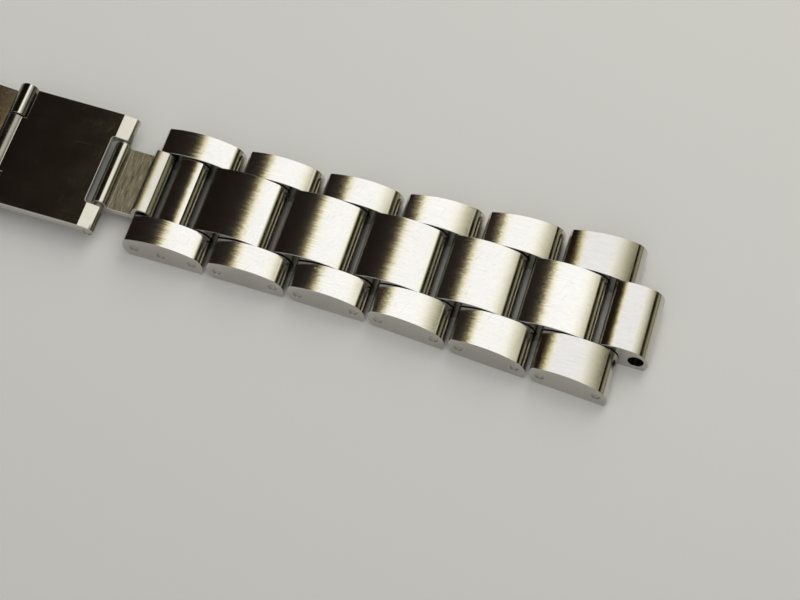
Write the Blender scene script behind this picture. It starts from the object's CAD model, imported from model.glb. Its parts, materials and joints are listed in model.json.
"""Looks of the open steel watch bracelet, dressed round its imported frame.

Blender's unit is the metre, so lengths are written in millimetres times MM.
X runs along the bracelet, Y across it and Z up from the floor.
"""
import json
import math

import bmesh
import bpy
from mathutils import Matrix, Vector


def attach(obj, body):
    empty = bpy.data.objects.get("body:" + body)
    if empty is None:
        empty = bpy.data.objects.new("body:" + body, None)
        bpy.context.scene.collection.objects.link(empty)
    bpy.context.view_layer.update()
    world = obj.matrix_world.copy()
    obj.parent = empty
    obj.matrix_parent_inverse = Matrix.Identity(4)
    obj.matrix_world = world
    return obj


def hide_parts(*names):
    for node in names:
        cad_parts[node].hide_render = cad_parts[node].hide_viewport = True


MM = 0.001

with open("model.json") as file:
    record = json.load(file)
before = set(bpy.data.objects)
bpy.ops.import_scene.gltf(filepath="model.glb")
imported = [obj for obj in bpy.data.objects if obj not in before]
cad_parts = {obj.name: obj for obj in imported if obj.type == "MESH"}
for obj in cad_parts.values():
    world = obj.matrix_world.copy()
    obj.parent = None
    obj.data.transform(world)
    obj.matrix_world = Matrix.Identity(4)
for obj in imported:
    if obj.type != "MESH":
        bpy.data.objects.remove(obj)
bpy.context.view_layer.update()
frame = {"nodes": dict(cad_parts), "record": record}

# The camera stands where the photograph was taken from
CAMERA_AT = Vector((79.48, -124.46, 200.0)) * MM
CAMERA_AZIMUTH = math.radians(9.56)
CAMERA_DROP = math.radians(58.51)
CAMERA_ROLL = math.radians(7.67)
SENSOR_WIDTH = 36
IMAGE_WIDTH_PX = 800
FOCAL_LENGTH_PX = 2350
CLIP_NEAR = 1 * MM
CLIP_FAR = 20000 * MM

# The softbox hangs level above the far side of the bracelet
SOFTBOX_HEIGHT = 200 * MM
SOFTBOX_LEFT = -24 * MM
SOFTBOX_START = -8 * MM
SOFTBOX_FULL = 13 * MM
SOFTBOX_WHITE = (1 * MM, 25 * MM)
SOFTBOX_DIM = 0.09
SOFTBOX_FADE = 140 * MM
SOFTBOX_RIGHT = 255 * MM
SOFTBOX_NEAR = 55 * MM
SOFTBOX_FAR = 420 * MM
SOFTBOX_GLOW = 1.48
SOFTBOX_COLOUR = (1.0, 0.99, 0.985)
SOFTBOX_LEFT_COLOUR = (1.0, 0.90, 0.38)
SOFTBOX_RIGHT_COLOUR = (1.0, 0.95, 0.64)
SOFTBOX_DIM_COLOUR = (1.0, 0.55, 0.25)
SOFTBOX_EDGE = (115 * MM, 210 * MM)
SOFTBOX_DIM_COLOUR_END = 0.3

# The studio's walls are pale between two heights, most of all on the far side
WALL_FOOT = (math.radians(2), math.radians(6))
WALL_TOP = (math.radians(16), math.radians(23))
WALL_COLOUR = (0.36, 0.35, 0.21)
NEAR_WALL = 0.25
NEAR_WALL_SPAN = (-0.5, 0.3)
LEFT_WALL = 0.12
LEFT_WALL_SPAN = (-0.7, -0.1)
CEILING_COLOUR = (0.010, 0.0055, 0.003)

# Soft grey light fills the studio on both sides of the dark band with the softbox. The tops
# reflect that band towards the camera, and the soft light shows from other sides
BAND_NEAR = (0.34, 0.22)
BAND_FAR = (0.68, 0.80)
SKY_COLOUR = (0.78, 0.77, 0.74)
SKY_ENDS = (0.08, 0.70)
SKY_END_LEVEL = 0.15

FLOOR_SIZE = 4000 * MM
FLOOR_DEPTH = 0.02 * MM
FLOOR_ROUGHNESS = 0.8
FLOOR_SPECULAR = 0.2
FLOOR_COLOUR = (0.93, 0.925, 0.91)
FLOOR_GLOW = 0.1
FLOOR_SHADE_REACH = 12 * MM

# Softened edges, after near points are joined and edges that barely bend are taken out
SHARP_ANGLE = math.radians(18)
LINK_EDGE = 0.05 * MM
CLASP_EDGE = 0.08 * MM
PIN_EDGE = 0.03 * MM
EDGE_SEGMENTS = 3
NORMAL_WEIGHT = 50
WELD_DISTANCE = 0.0001 * MM
FLAT_ANGLE = math.radians(0.3)

# How a face's finish is told: how level or upright it is, and where it lies
LEVEL_NORMAL = 0.945
FLAT_NORMAL = 0.999
FLAT_FACE = 2.0 * MM * MM
BLOCK_TOP = 2.6 * MM
LEAF_ROOT_END = 17.1 * MM
ON_TOP, ON_ROUND, ON_SIDE, ON_UNDERSIDE, ON_ROOT = range(5)

# How many degrees the shading of a link's top leans towards the watch, set link by link
# until its highlight lies where the photograph has it
LEAN = {
    "centre_0": -5.0, "centre_1": -7.0, "centre_2": -1.0, "centre_3": -3.3,
    "centre_5": -2.0, "end": -1.5,
    "outer_far_1": 0.5, "outer_far_2": 5.7, "outer_far_3": 3.8, "outer_far_4": 5.4,
    "outer_far_5": 2.3, "outer_far_6": 2.0,
    "outer_near_1": 1.6, "outer_near_2": 4.4, "outer_near_3": 1.9, "outer_near_4": 5.6,
    "outer_near_5": 1.2, "outer_near_6": 2.0,
}

# Noise: its middle, and the span that nearly all of it lies in
NOISE_MIDDLE = 0.5
NOISE_SPAN = (0.3, 0.7)
NOISE_ROUGHNESS = 0.6
DRIFT_SIZE = (9 * MM, 9 * MM, 9 * MM)
DRIFT_SPAN = (0.35, 0.65)

# Wear. A hairline begins where its noise is over the low end of its span, and is full at the
# high end
PIT_SIZE = 0.7 * MM
PIT_DENSITY = 0.12
PIT_RIM, PIT_FLOOR = 0.12, 0.05
PIT_LEAN = 0.07
CROWN_MARK = {
    "turn": math.radians(68), "width": 0.05 * MM, "length": 1.6 * MM, "span": (0.68, 0.76),
}
CROWN_MARK_LEAN = -0.04
CROWN_MARK_SHADE = 0.25
POLISH_LINE = {
    "turn": math.radians(4), "width": 0.05 * MM, "length": 3.0 * MM, "span": (0.70, 0.78),
}
POLISH_LINE_ROUGHNESS = 0.12
POLISH_LINE_STRENGTH = 0.12
POLISH_LINE_DEPTH = 0.004 * MM
PLATE_LINE_ALONG = {
    "turn": math.radians(5), "width": 0.04 * MM, "length": 4.5 * MM, "span": (0.68, 0.78),
}
PLATE_LINE_ALONG_LEAN = 0.05
PLATE_LINE_ACROSS = {
    "turn": math.radians(64), "width": 0.04 * MM, "length": 2.0 * MM, "span": (0.69, 0.79),
}
PLATE_LINE_ACROSS_LEAN = 0.06

# Brushing: the size of its grain along X, Y and Z, how far it leans the surface, how much it
# darkens the steel, and how much the roughness varies with it
CROWN_FINE = (2.4 * MM, 0.07 * MM, 0.07 * MM)
CROWN_FINE_SIDE_LEAN = 0.09
CROWN_BROAD = (6.0 * MM, 0.18 * MM, 0.18 * MM)
CROWN_BROAD_OFFSET = (7, 3, 1)
CROWN_BROAD_SHARE = 0.4
CROWN_STREAK = 0.10
CROWN_ROUGHNESS_SPAN = (0.92, 1.08)
CROWN_DARK_SHARE = 0.955
CROWN_ANISOTROPY = 0.3
POLISH_CLOUD = (1.5 * MM, 1.5 * MM, 1.5 * MM)
POLISH_ROUGHNESS_SPAN = (0.8, 1.3)
POLISH_DARK_SHARE = 0.9
PLATE_COLOUR = (0.56, 0.575, 0.56)
PLATE_DARK_COLOUR = (0.54, 0.555, 0.54)
PLATE_FINE = (1.6 * MM, 0.06 * MM, 0.06 * MM)
PLATE_FINE_LEAN = 0.05
PLATE_FINE_SIDE_LEAN = 0.12
PLATE_STREAK = 0.12
PLATE_CLOUD = (3 * MM, 3 * MM, 3 * MM)
PLATE_ROUGHNESS_SPAN = (0.115, 0.135)
CROSS_FINE = (0.07 * MM, 1.2 * MM, 0.07 * MM)
CROSS_FINE_LEAN = 0.32
CROSS_BROAD = (0.3 * MM, 2.0 * MM, 0.3 * MM)
CROSS_BROAD_OFFSET = (3, 5, 2)
CROSS_BROAD_SIDE_LEAN = 0.15
CROSS_STREAK = 0.25
CROSS_ROUGHNESS_SPAN = (0.85, 1.15)
CROSS_DARK_SHARE = 0.85
CROSS_ANISOTROPY = 0.5


def add_node(tree, kind, inputs=None, **settings):
    """Adds a shader node with its settings, input values and links."""
    node = tree.nodes.new(kind)
    for name, value in settings.items():
        setattr(node, name, value)
    for name, value in (inputs or {}).items():
        if isinstance(value, bpy.types.NodeSocket):
            tree.links.new(value, node.inputs[name])
        else:
            node.inputs[name].default_value = value
    return node


def number(tree, operation, first, second=0.0, third=0.0, clamp=False):
    """One step of arithmetic between sockets or plain numbers."""
    inputs = {0: first, 1: second, 2: third}
    node = add_node(tree, "ShaderNodeMath", inputs, operation=operation, use_clamp=clamp)
    return node.outputs[0]


def vector(tree, operation, first, second=(0, 0, 0)):
    """One step of vector arithmetic."""
    node = add_node(tree, "ShaderNodeVectorMath", {0: first, 1: second}, operation=operation)
    return node.outputs[0]


def blend_colour(tree, factor, first, second):
    """Mixes two colours by a factor."""
    node = add_node(tree, "ShaderNodeMix", data_type="RGBA")
    for index, value in ((0, factor), (6, first), (7, second)):
        if isinstance(value, bpy.types.NodeSocket):
            tree.links.new(value, node.inputs[index])
        else:
            node.inputs[index].default_value = value
    return node.outputs[2]


def remap(tree, value, low, high, out_low=0.0, out_high=1.0):
    """Turns low..high into out_low..out_high, clamped."""
    inputs = {"Value": value, "From Min": low, "From Max": high}
    inputs.update({"To Min": out_low, "To Max": out_high})
    return add_node(tree, "ShaderNodeMapRange", inputs, clamp=True).outputs[0]


def grain(tree, size, detail=3.0, turn=(0, 0, 0), offset=(0, 0, 0)):
    """Noise whose spots have the given size along X, Y and Z on the piece."""
    place = add_node(tree, "ShaderNodeTexCoord").outputs["Object"]
    scale = tuple(1 / length for length in size)
    moved = add_node(
        tree, "ShaderNodeMapping",
        {"Vector": place, "Rotation": turn}, vector_type="TEXTURE",
    ).outputs[0]
    stretched = add_node(
        tree, "ShaderNodeMapping", {"Vector": moved, "Scale": scale, "Location": offset}
    ).outputs[0]
    noise = add_node(
        tree, "ShaderNodeTexNoise",
        {"Vector": stretched, "Scale": 1.0, "Detail": detail, "Roughness": NOISE_ROUGHNESS},
    )
    return noise.outputs[0]


def add_lean(tree, noise, size, lean=0.0):
    """Adds to a lean one of the given size that noise swings to both sides."""
    swing = number(tree, "SUBTRACT", noise, NOISE_MIDDLE)
    return number(tree, "MULTIPLY_ADD", swing, size, lean)


def leaning_normal(tree, lean_x, lean_y):
    """The surface normal leaned along X and Y of the piece by small slopes."""
    lean = add_node(tree, "ShaderNodeCombineXYZ", {0: lean_x, 1: lean_y}).outputs[0]
    turned = add_node(
        tree, "ShaderNodeVectorTransform", {0: lean},
        vector_type="VECTOR", convert_from="OBJECT", convert_to="WORLD",
    ).outputs[0]
    normal = add_node(tree, "ShaderNodeNewGeometry").outputs["Normal"]
    return vector(tree, "NORMALIZE", vector(tree, "ADD", normal, turned))


def darker(colour, share):
    """A colour at a share of its brightness."""
    return tuple(share * part for part in colour)


def steel(name, colour, dark_colour):
    """A bare metal material whose colour drifts softly between two steels."""
    material = bpy.data.materials.new(name)
    material.use_nodes = True
    tree = material.node_tree
    tree.nodes.clear()
    shader = add_node(tree, "ShaderNodeBsdfPrincipled", {"Metallic": 1.0})
    output = add_node(tree, "ShaderNodeOutputMaterial")
    tree.links.new(shader.outputs[0], output.inputs[0])
    drift = grain(tree, DRIFT_SIZE, detail=2.0)
    mix = remap(tree, drift, *DRIFT_SPAN)
    base = blend_colour(tree, mix, (*dark_colour, 1), (*colour, 1))
    tree.links.new(base, shader.inputs["Base Color"])
    return material, tree, shader


def streak(tree, shader, lines, depth):
    """Darkens the steel a little along the lines of its brushing."""
    base = shader.inputs["Base Color"].links[0].from_socket
    shade = remap(tree, lines, *NOISE_SPAN, 1.0 - depth, 1.0)
    streaked = vector(tree, "MULTIPLY", base, shade)
    tree.links.new(streaked, shader.inputs["Base Color"])


def nicks(tree, size, density):
    """Small scattered pits: 1 inside a pit and 0 elsewhere."""
    place = add_node(tree, "ShaderNodeTexCoord").outputs["Object"]
    scale = (1 / size, 1 / size, 1 / size)
    cells = add_node(tree, "ShaderNodeMapping", {"Vector": place, "Scale": scale}).outputs[0]
    spots = add_node(tree, "ShaderNodeTexVoronoi", {"Vector": cells, "Scale": 1.0})
    near = remap(tree, spots.outputs["Distance"], PIT_RIM, PIT_FLOOR)
    colour = add_node(tree, "ShaderNodeSeparateColor", {0: spots.outputs["Color"]}).outputs[0]
    chosen = number(tree, "LESS_THAN", colour, density)
    return number(tree, "MULTIPLY", near, chosen)


def scratches(tree, turn, width, length, span):
    """Sparse fine hairlines: 1 on a line and 0 elsewhere."""
    lines = grain(tree, (length, width, width), detail=1.0, turn=(0, 0, turn))
    return remap(tree, lines, *span)


def vary_roughness(tree, shader, noise, roughness, span):
    """Varies the roughness with noise, between two shares of its value."""
    low, high = (share * roughness for share in span)
    rough = remap(tree, noise, *NOISE_SPAN, low, high)
    tree.links.new(rough, shader.inputs["Roughness"])
    return rough


def set_brushing(tree, shader, axis, anisotropy):
    """Stretches the highlights by brushing round an axis of the piece."""
    shader.inputs["Anisotropic"].default_value = anisotropy
    tangent = add_node(tree, "ShaderNodeTangent", direction_type="RADIAL", axis=axis)
    tree.links.new(tangent.outputs[0], shader.inputs["Tangent"])


def brushed_crown(name, colour, roughness, lean):
    """The domed tops of the links, brushed along the bracelet."""
    material, tree, shader = steel(name, colour, darker(colour, CROWN_DARK_SHARE))
    fine = grain(tree, CROWN_FINE)
    broad = grain(tree, CROWN_BROAD, detail=2.0, offset=CROWN_BROAD_OFFSET)
    pits = nicks(tree, PIT_SIZE, PIT_DENSITY)
    marks = scratches(tree, **CROWN_MARK)
    streak(tree, shader, fine, CROWN_STREAK)
    streak(tree, shader, number(tree, "SUBTRACT", 1.0, marks), CROWN_MARK_SHADE)
    own_lean = add_node(
        tree, "ShaderNodeAttribute", attribute_type="OBJECT", attribute_name="lean"
    ).outputs["Fac"]
    lean_x = add_lean(tree, fine, lean, own_lean)
    lean_x = add_lean(tree, broad, CROWN_BROAD_SHARE * lean, lean_x)
    lean_x = number(tree, "MULTIPLY_ADD", pits, PIT_LEAN, lean_x)
    lean_x = number(tree, "MULTIPLY_ADD", marks, CROWN_MARK_LEAN, lean_x)
    lean_y = add_lean(tree, fine, CROWN_FINE_SIDE_LEAN)
    tree.links.new(leaning_normal(tree, lean_x, lean_y), shader.inputs["Normal"])
    vary_roughness(tree, shader, broad, roughness, CROWN_ROUGHNESS_SPAN)
    set_brushing(tree, shader, "X", CROWN_ANISOTROPY)
    return material


def polished(name, colour, roughness):
    """Smooth steel with faint hairlines along the bracelet."""
    material, tree, shader = steel(name, colour, darker(colour, POLISH_DARK_SHARE))
    lines = scratches(tree, **POLISH_LINE)
    cloud = grain(tree, POLISH_CLOUD)
    rough = vary_roughness(tree, shader, cloud, roughness, POLISH_ROUGHNESS_SPAN)
    rough = number(tree, "MULTIPLY_ADD", lines, POLISH_LINE_ROUGHNESS, rough)
    tree.links.new(rough, shader.inputs["Roughness"])
    bump = add_node(
        tree, "ShaderNodeBump",
        {"Height": lines, "Strength": POLISH_LINE_STRENGTH, "Distance": POLISH_LINE_DEPTH},
        invert=True,
    )
    tree.links.new(bump.outputs[0], shader.inputs["Normal"])
    return material


def satin_plate():
    """The smooth plates of the clasp, with hairlines from wear."""
    material, tree, shader = steel("satin_plate", PLATE_COLOUR, PLATE_DARK_COLOUR)
    along = scratches(tree, **PLATE_LINE_ALONG)
    across = scratches(tree, **PLATE_LINE_ACROSS)
    fine = grain(tree, PLATE_FINE)
    cloud = grain(tree, PLATE_CLOUD, detail=4.0)
    vary_roughness(tree, shader, cloud, 1.0, PLATE_ROUGHNESS_SPAN)
    streak(tree, shader, fine, PLATE_STREAK)
    lean_x = add_lean(tree, fine, PLATE_FINE_LEAN)
    lean_x = number(tree, "MULTIPLY_ADD", along, PLATE_LINE_ALONG_LEAN, lean_x)
    lean_x = number(tree, "MULTIPLY_ADD", across, PLATE_LINE_ACROSS_LEAN, lean_x)
    lean_y = add_lean(tree, fine, PLATE_FINE_SIDE_LEAN)
    tree.links.new(leaning_normal(tree, lean_x, lean_y), shader.inputs["Normal"])
    return material


def cross_brushed(name, colour, roughness):
    """Dull steel brushed across the bracelet."""
    material, tree, shader = steel(name, colour, darker(colour, CROSS_DARK_SHARE))
    fine = grain(tree, CROSS_FINE)
    broad = grain(tree, CROSS_BROAD, detail=2.0, offset=CROSS_BROAD_OFFSET)
    streak(tree, shader, fine, CROSS_STREAK)
    lean_x = add_lean(tree, fine, CROSS_FINE_LEAN)
    lean_y = add_lean(tree, broad, CROSS_BROAD_SIDE_LEAN)
    tree.links.new(leaning_normal(tree, lean_x, lean_y), shader.inputs["Normal"])
    vary_roughness(tree, shader, broad, roughness, CROSS_ROUGHNESS_SPAN)
    set_brushing(tree, shader, "Y", CROSS_ANISOTROPY)
    return material


CROWN = brushed_crown("brushed_crown", (0.70, 0.69, 0.665), 0.165, 0.095)
BRIGHT_CROWN = brushed_crown("bright_crown", (0.58, 0.57, 0.555), 0.115, 0.065)
ROUND_END = polished("polished_end", (0.66, 0.64, 0.58), 0.16)
SIDE = polished("polished_side", (0.60, 0.58, 0.54), 0.12)
UNDERSIDE = cross_brushed("brushed_underside", (0.62, 0.60, 0.56), 0.38)
PLATE = satin_plate()
ROLL = polished("polished_roll", (0.52, 0.505, 0.455), 0.16)
DULL_ROLL = polished("dull_roll", (0.27, 0.26, 0.235), 0.22)
BLADE = cross_brushed("brushed_blade", (0.40, 0.37, 0.28), 0.29)
PIN = polished("turned_pin", (0.60, 0.58, 0.54), 0.55)

# For each kind of piece, its finishes on the top, the rounds, the sides, the underside and a
# leaf's root, then its edge radius and the record's material slot
KINDS = {
    "outer": ((CROWN, ROUND_END, SIDE, UNDERSIDE), LINK_EDGE, "link_steel"),
    "centre": ((CROWN, ROUND_END, SIDE, UNDERSIDE), LINK_EDGE, "link_steel"),
    "last": ((BRIGHT_CROWN, ROUND_END, SIDE, UNDERSIDE), LINK_EDGE, "link_steel"),
    "coupling": ((BLADE, ROLL, SIDE, UNDERSIDE), CLASP_EDGE, "blade_steel"),
    "leaf": ((PLATE, ROLL, SIDE, UNDERSIDE, DULL_ROLL), CLASP_EDGE, "clasp_steel"),
    "clasp": ((PLATE, DULL_ROLL, SIDE, UNDERSIDE), CLASP_EDGE, "clasp_steel"),
    "pin": ((PIN, PIN, PIN, PIN), PIN_EDGE, "pin_steel"),
}


def kind_of(node):
    """The kind of piece that a node's name tells."""
    if "pin" in node:
        return "pin"
    if node.startswith("end") or node.endswith("6"):
        return "last"
    return node.split("_")[0]


def finish_of(kind, face):
    """Which of a kind's finishes a face takes."""
    normal = face.normal
    middle = face.calc_center_median()
    if kind == "coupling" and middle.z > BLOCK_TOP:
        return ON_ROUND
    if kind == "leaf" and abs(middle.x) < LEAF_ROOT_END:
        return ON_ROOT
    if kind == "leaf" and LEVEL_NORMAL < normal.z < FLAT_NORMAL:
        return ON_ROUND
    if normal.z > LEVEL_NORMAL:
        return ON_TOP
    if normal.z < -LEVEL_NORMAL:
        return ON_UNDERSIDE
    if abs(normal.y) > LEVEL_NORMAL:
        return ON_SIDE
    return ON_ROUND


def lean_of(node):
    """The slope by which the shading of a node's top leans along X."""
    half = -1 if node.rstrip("0123456789").endswith("b") else 1
    key = node.replace("_a", "_").replace("_b", "_")
    key = "end" if node.startswith("end") else key
    return half * math.tan(math.radians(LEAN.get(key, 0.0)))


def is_crease(line):
    """Whether a slight edge stays crisp because the finish changes there."""
    if len(line.link_faces) != 2:
        return False
    first, second = line.link_faces
    return line.calc_face_angle() < SHARP_ANGLE and first.material_index != second.material_index


def finished_mesh(node, kind):
    """A node's mesh, cleaned, with a finish and a smooth or flat shading for each face."""
    form = bmesh.new()
    form.from_mesh(frame["nodes"][node].data)
    bmesh.ops.remove_doubles(form, verts=form.verts, dist=WELD_DISTANCE)
    bmesh.ops.dissolve_limit(
        form, angle_limit=FLAT_ANGLE, verts=form.verts, edges=form.edges
    )
    form.normal_update()
    for face in form.faces:
        face.smooth = kind != "leaf" or face.calc_area() < FLAT_FACE
        face.material_index = finish_of(kind, face)
    for line in form.edges:
        line.smooth = not is_crease(line)
    mesh = bpy.data.meshes.new(node + ".finished")
    form.to_mesh(mesh)
    form.free()
    return mesh


def soften_edges(piece, radius):
    """Rounds a piece's sharp edges, and shades its large faces evenly."""
    soften = piece.modifiers.new("soft_edges", "BEVEL")
    soften.width = radius
    soften.segments = EDGE_SEGMENTS
    soften.limit_method = "ANGLE"
    soften.angle_limit = SHARP_ANGLE
    soften.use_clamp_overlap = True
    soften.harden_normals = True
    even = piece.modifiers.new("even_shading", "WEIGHTED_NORMAL")
    even.mode = "FACE_AREA"
    even.weight = NORMAL_WEIGHT
    even.keep_sharp = True


def dressed(node, body):
    """A smooth piece with softened edges and its own finishes, for one node."""
    kind = kind_of(node)
    finishes, edge, slot = KINDS[kind]
    mesh = finished_mesh(node, kind)
    for material in finishes:
        mesh.materials.append(material)
    piece = bpy.data.objects.new(node + ".finished", mesh)
    bpy.context.scene.collection.objects.link(piece)
    soften_edges(piece, edge)
    piece["lean"] = lean_of(node)
    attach(piece, body)
    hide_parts(node)


def set_camera():
    """Puts the camera at the photograph's place, angle and tilt."""
    data = bpy.data.cameras.new("photo_camera")
    data.sensor_width = SENSOR_WIDTH
    data.lens = FOCAL_LENGTH_PX / IMAGE_WIDTH_PX * SENSOR_WIDTH
    data.clip_start = CLIP_NEAR
    data.clip_end = CLIP_FAR
    camera = bpy.data.objects.new("photo_camera", data)
    bpy.context.scene.collection.objects.link(camera)
    turn = Matrix.Rotation(CAMERA_AZIMUTH, 4, "Z")
    tip = Matrix.Rotation(math.pi / 2 - CAMERA_DROP, 4, "X")
    roll = Matrix.Rotation(CAMERA_ROLL, 4, "Z")
    camera.matrix_world = Matrix.Translation(CAMERA_AT) @ turn @ tip @ roll
    bpy.context.scene.camera = camera


def flat_sheet(name, x0, x1, y0, y1, z, material):
    """A level rectangle of the stage."""
    mesh = bpy.data.meshes.new(name)
    mesh.from_pydata([(x0, y0, z), (x1, y0, z), (x1, y1, z), (x0, y1, z)], [], [(0, 1, 2, 3)])
    mesh.materials.append(material)
    sheet = bpy.data.objects.new(name, mesh)
    bpy.context.scene.collection.objects.link(sheet)
    return sheet


def set_floor():
    """A plain pale floor just under the bracelet."""
    material = bpy.data.materials.new("floor")
    material.use_nodes = True
    tree = material.node_tree
    shader = tree.nodes["Principled BSDF"]
    shader.inputs["Base Color"].default_value = (*FLOOR_COLOUR, 1)
    shader.inputs["Roughness"].default_value = FLOOR_ROUGHNESS
    shader.inputs["Specular IOR Level"].default_value = FLOOR_SPECULAR
    shader.inputs["Emission Color"].default_value = (*FLOOR_COLOUR, 1)
    rays = add_node(tree, "ShaderNodeLightPath").outputs
    seen = number(tree, "MAXIMUM", rays["Is Camera Ray"], rays["Is Glossy Ray"])
    seen = number(tree, "MAXIMUM", seen, rays["Is Transmission Ray"])
    shade = add_node(tree, "ShaderNodeAmbientOcclusion", {"Distance": FLOOR_SHADE_REACH})
    glow = number(tree, "MULTIPLY", seen, shade.outputs["AO"])
    glow = number(tree, "MULTIPLY", glow, FLOOR_GLOW)
    tree.links.new(glow, shader.inputs["Emission Strength"])
    half = FLOOR_SIZE / 2
    flat_sheet("floor", -half, half, -half, half, -FLOOR_DEPTH, material)


def set_softbox():
    """A wide soft light that fades and yellows towards its ends."""
    material = bpy.data.materials.new("softbox")
    material.use_nodes = True
    tree = material.node_tree
    tree.nodes.clear()
    place = add_node(tree, "ShaderNodeTexCoord").outputs["Object"]
    along = add_node(tree, "ShaderNodeSeparateXYZ", {0: place}).outputs[0]
    dim = remap(tree, along, SOFTBOX_LEFT, SOFTBOX_START, 0.0, SOFTBOX_DIM)
    rise = remap(tree, along, SOFTBOX_START, SOFTBOX_FULL)
    fall = remap(tree, along, SOFTBOX_FADE, SOFTBOX_RIGHT, 1.0, 0.0)
    fade = number(tree, "MULTIPLY", number(tree, "MAXIMUM", rise, dim), fall)
    yellow = remap(tree, along, *SOFTBOX_EDGE)
    colour = blend_colour(tree, yellow, (*SOFTBOX_COLOUR, 1), (*SOFTBOX_RIGHT_COLOUR, 1))
    white = remap(tree, along, *SOFTBOX_WHITE)
    colour = blend_colour(tree, white, (*SOFTBOX_LEFT_COLOUR, 1), colour)
    lit = remap(tree, rise, 0.0, SOFTBOX_DIM_COLOUR_END)
    colour = blend_colour(tree, lit, (*SOFTBOX_DIM_COLOUR, 1), colour)
    back = add_node(tree, "ShaderNodeNewGeometry").outputs["Backfacing"]
    front = number(tree, "SUBTRACT", 1.0, back)
    glow = number(tree, "MULTIPLY", number(tree, "MULTIPLY", fade, front), SOFTBOX_GLOW)
    light = add_node(tree, "ShaderNodeEmission", {"Color": colour, "Strength": glow})
    output = add_node(tree, "ShaderNodeOutputMaterial")
    tree.links.new(light.outputs[0], output.inputs[0])
    sheet = flat_sheet(
        "softbox", SOFTBOX_LEFT, SOFTBOX_RIGHT, SOFTBOX_FAR, SOFTBOX_NEAR,
        SOFTBOX_HEIGHT, material,
    )
    sheet.visible_camera = False


def set_world():
    """A soft grey studio with a dark band overhead, where the softbox hangs."""
    world = bpy.data.worlds.new("studio")
    bpy.context.scene.world = world
    world.use_nodes = True
    tree = world.node_tree
    tree.nodes.clear()
    direction = add_node(tree, "ShaderNodeTexCoord").outputs["Generated"]
    parts = add_node(tree, "ShaderNodeSeparateXYZ", {0: direction})
    foot = remap(tree, parts.outputs[2], *map(math.sin, WALL_FOOT))
    top = remap(tree, parts.outputs[2], *map(math.sin, WALL_TOP), 1.0, 0.0)
    side = remap(tree, parts.outputs[1], *NEAR_WALL_SPAN, NEAR_WALL, 1.0)
    left = remap(tree, parts.outputs[0], *LEFT_WALL_SPAN, LEFT_WALL, 1.0)
    side = number(tree, "MULTIPLY", side, left)
    lit = number(tree, "MULTIPLY", number(tree, "MULTIPLY", foot, top), side)
    band = blend_colour(tree, lit, (*CEILING_COLOUR, 1), (*WALL_COLOUR, 1))
    near = remap(tree, parts.outputs[1], *BAND_NEAR)
    far = remap(tree, parts.outputs[1], *BAND_FAR)
    outside = number(tree, "MAXIMUM", near, far)
    ends = number(tree, "ABSOLUTE", parts.outputs[0])
    level = remap(tree, ends, *SKY_ENDS, 1.0, SKY_END_LEVEL)
    soft = vector(tree, "MULTIPLY", SKY_COLOUR, level)
    colour = blend_colour(tree, outside, band, soft)
    sky = add_node(tree, "ShaderNodeBackground", {"Color": colour, "Strength": 1.0})
    output = add_node(tree, "ShaderNodeOutputWorld")
    tree.links.new(sky.outputs[0], output.inputs[0])


for body_name, members in frame["record"]["behaviour"]["bodies"].items():
    for member in members:
        dressed(member, body_name)
set_camera()
set_floor()
set_softbox()
set_world()
bpy.context.scene.view_settings.view_transform = "Standard"
